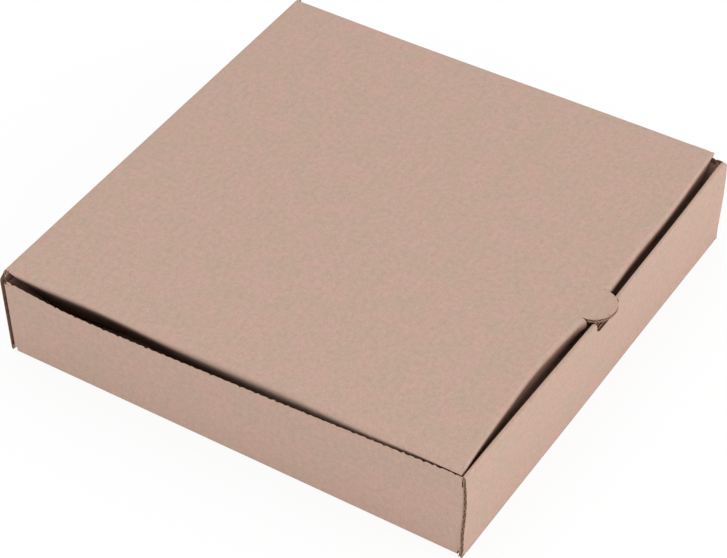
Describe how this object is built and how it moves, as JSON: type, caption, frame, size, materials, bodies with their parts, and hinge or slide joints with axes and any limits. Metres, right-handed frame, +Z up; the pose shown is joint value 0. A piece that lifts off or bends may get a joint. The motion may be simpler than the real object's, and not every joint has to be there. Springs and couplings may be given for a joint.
{
  "type": "pizza box",
  "caption": "Small square pizza box folded from one corrugated sheet, with a rolled front wall, a tucked hinged lid and a half-round opening tab.",
  "frame": {"origin": "centre of the tray's underside, on the surface that the box stands on", "axes": "+Z up, +X along the front wall to the right, +Y from the front wall to the hinge"},
  "size_m": [0.206, 0.2112, 0.043],
  "materials": {
    "tray_board": "matte",
    "lid_board": "matte"
  },
  "bodies": {
    "tray": {"tray": "tray_board"},
    "lid": {"lid": "lid_board"}
  },
  "joints": [
    {"name": "lid_hinge", "type": "hinge", "parent": "tray", "child": "lid", "pos_m": [0, 0.10225, 0.04225], "axis": [-1, 0, 0], "range_deg": [0, 180]}
  ]
}
